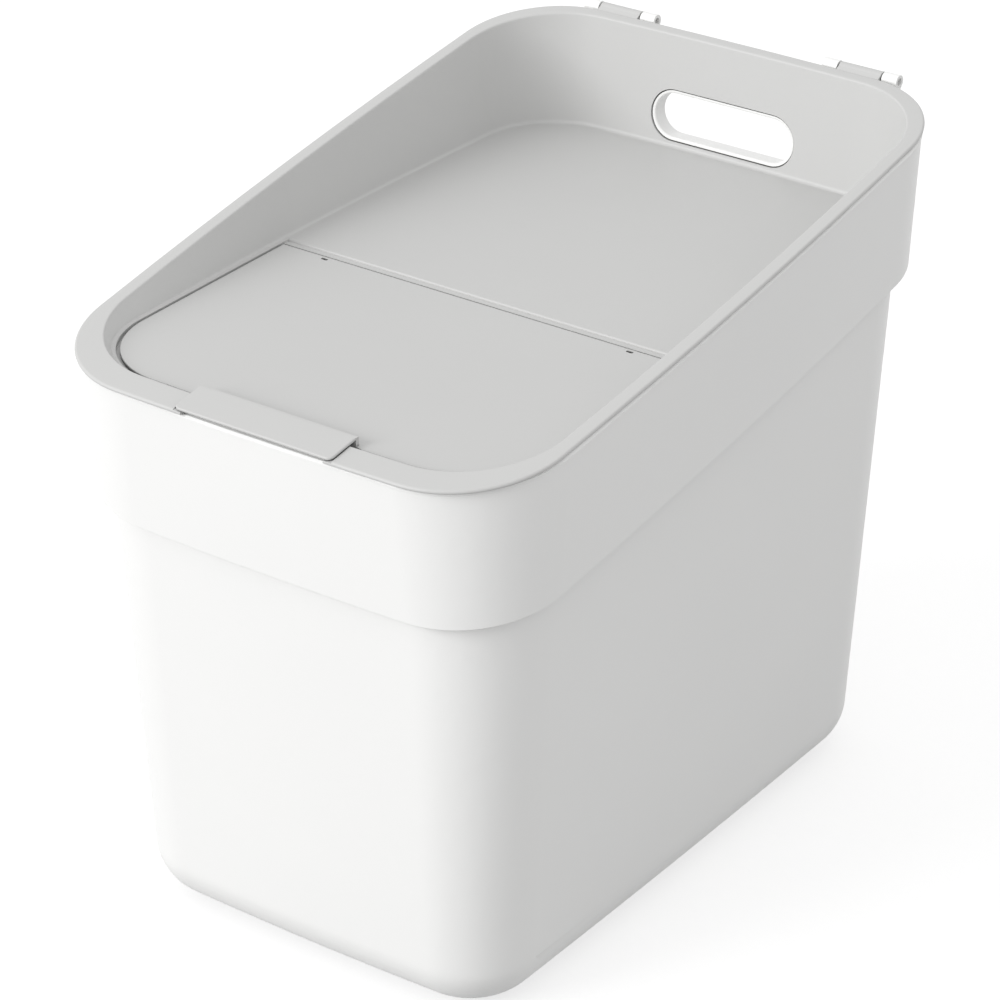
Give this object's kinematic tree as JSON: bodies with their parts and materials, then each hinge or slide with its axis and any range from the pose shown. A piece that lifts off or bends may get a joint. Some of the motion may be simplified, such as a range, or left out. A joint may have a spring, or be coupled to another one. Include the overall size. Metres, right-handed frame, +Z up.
{
  "type": "recycling bin",
  "caption": "Free-standing kitchen recycling bin with a sloping rim, a hinged lid with a flat recessed deck, a hinged flap with a finger lip, and a hand slot in the rear.",
  "frame": {"origin": "on the floor, under the middle of the overall length and width", "axes": "+X to the bin's left seen from behind, across the bin; +Y from the flap end to the hinge end; +Z up"},
  "size_m": [0.267, 0.392, 0.3489],
  "materials": {
    "white_polypropylene": "fine matt injection-moulded",
    "grey_polypropylene": "fine matt injection-moulded"
  },
  "bodies": {
    "bucket": {"bucket": "white_polypropylene"},
    "lid": {"lid_frame": "grey_polypropylene"},
    "flap": {"flap": "grey_polypropylene"}
  },
  "joints": [
    {"name": "lid_hinge", "type": "hinge", "parent": "bucket", "child": "lid", "pos_m": [0, 0.19273, 0.3455], "axis": [-1, 0, 0], "range_deg": [0, 105]},
    {"name": "flap_hinge", "type": "hinge", "parent": "lid", "child": "flap", "pos_m": [0, -0.03182, 0.285], "axis": [-1, 0, 0], "range_deg": [0, 95]}
  ]
}
